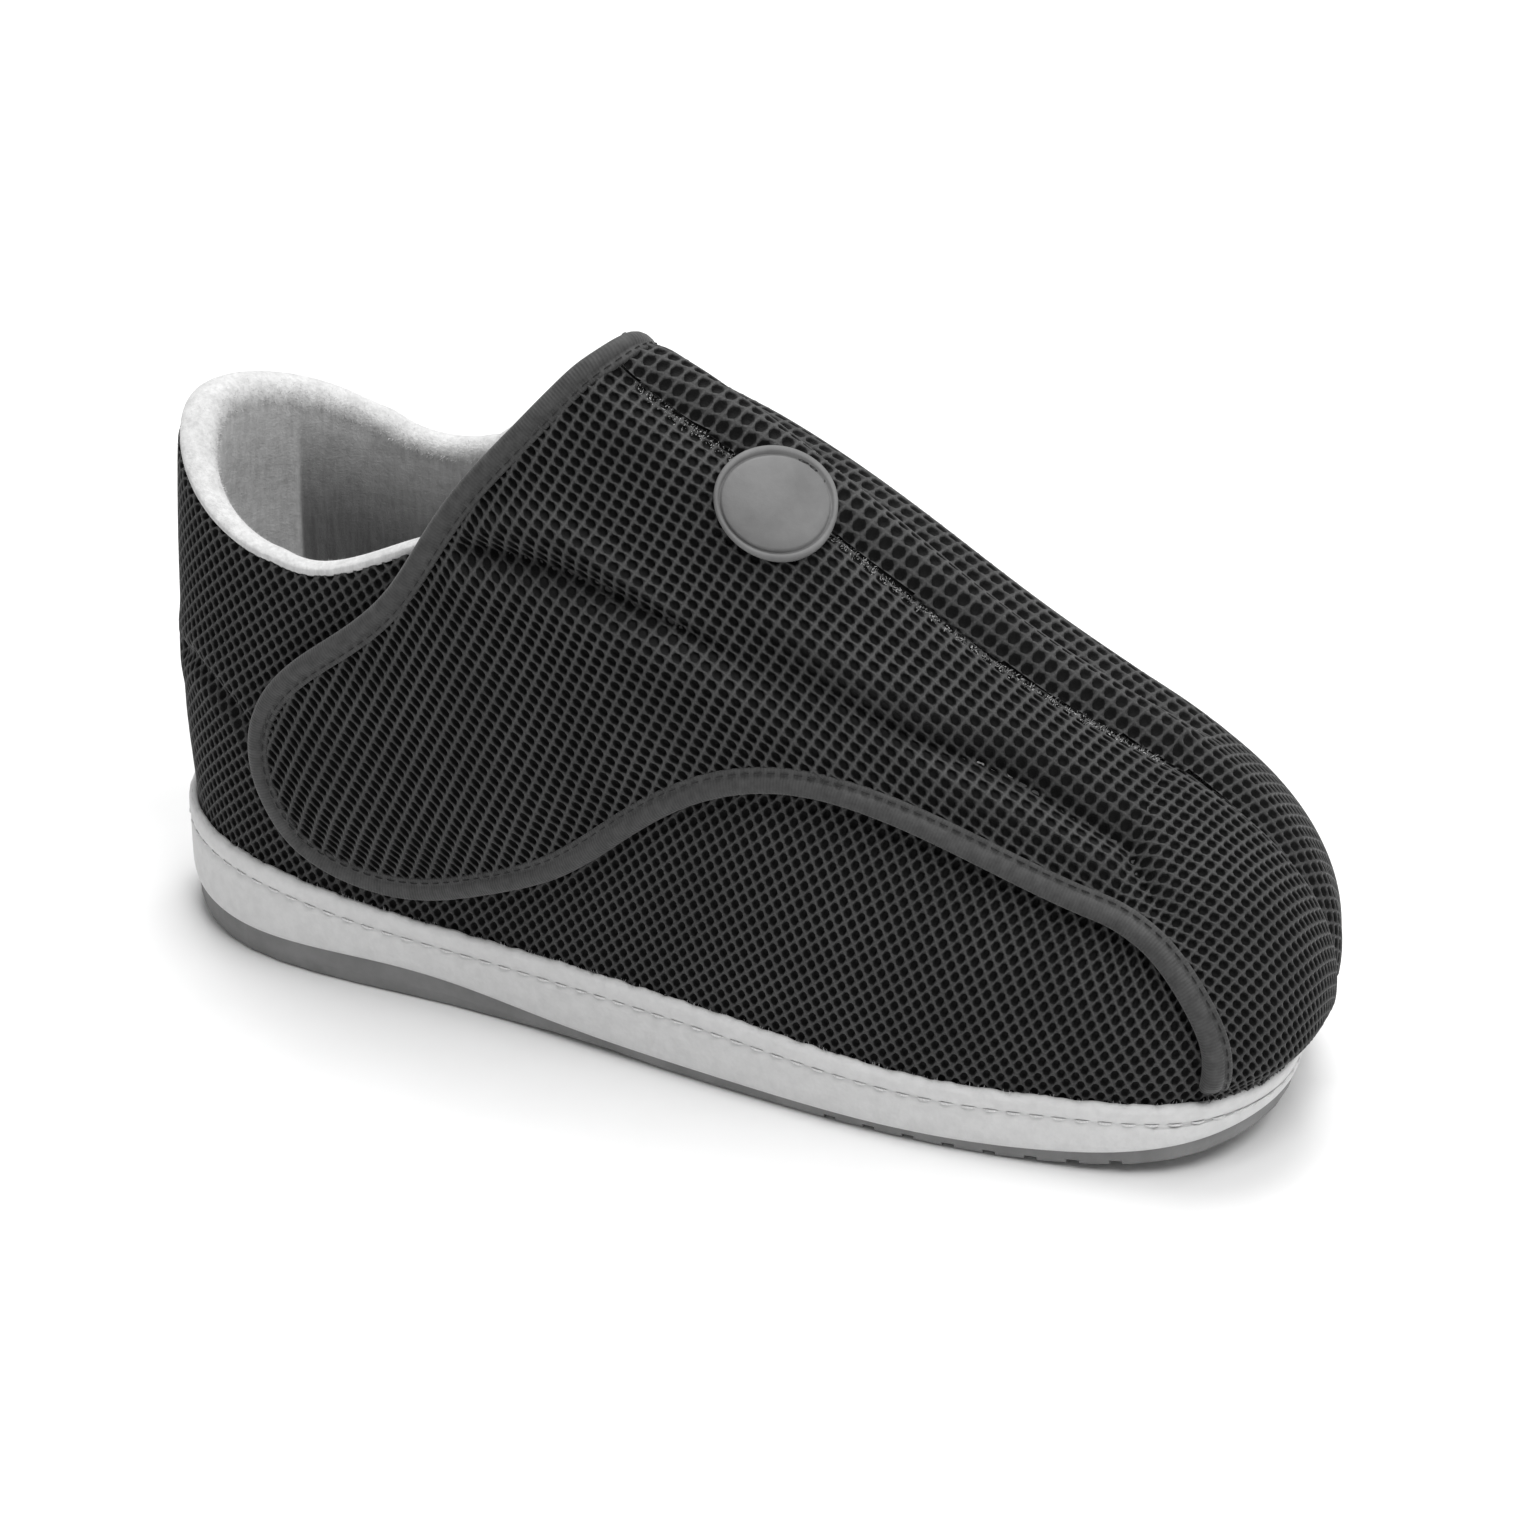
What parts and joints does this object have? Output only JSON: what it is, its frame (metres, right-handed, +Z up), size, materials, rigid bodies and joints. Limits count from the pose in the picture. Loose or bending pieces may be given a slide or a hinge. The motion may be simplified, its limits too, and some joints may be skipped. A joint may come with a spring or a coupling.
{
  "type": "post operative shoe",
  "caption": "Right post operative shoe: padded spacer mesh upper with a wide wrap-over flap, soft collar, wrapped platform and rubber outsole; wearable on the right foot.",
  "frame": {"origin": "on the floor under the heel, on the flat of the heel's tread", "axes": "+X from heel to toe, +Y to the inner side of the foot, +Z up"},
  "size_m": [0.2775, 0.1012, 0.1599],
  "materials": {
    "rubber": "matte",
    "foam": "closed-cell foam, matte",
    "wrap": "soft grained, matte",
    "insole_foam": "brushed cloth over foam",
    "spacer_mesh": "knitted spacer mesh, fleece lined",
    "flap_mesh": "quilted spacer mesh",
    "binding_tape": "woven tape",
    "badge_rubber": "matte, bare"
  },
  "bodies": {
    "root": {"outsole": "rubber", "midsole": "foam", "platform_wrap": "wrap", "insole": "insole_foam", "upper": "spacer_mesh", "flap": "flap_mesh", "flap_binding": "binding_tape", "badge": "badge_rubber"}
  },
  "joints": []
}
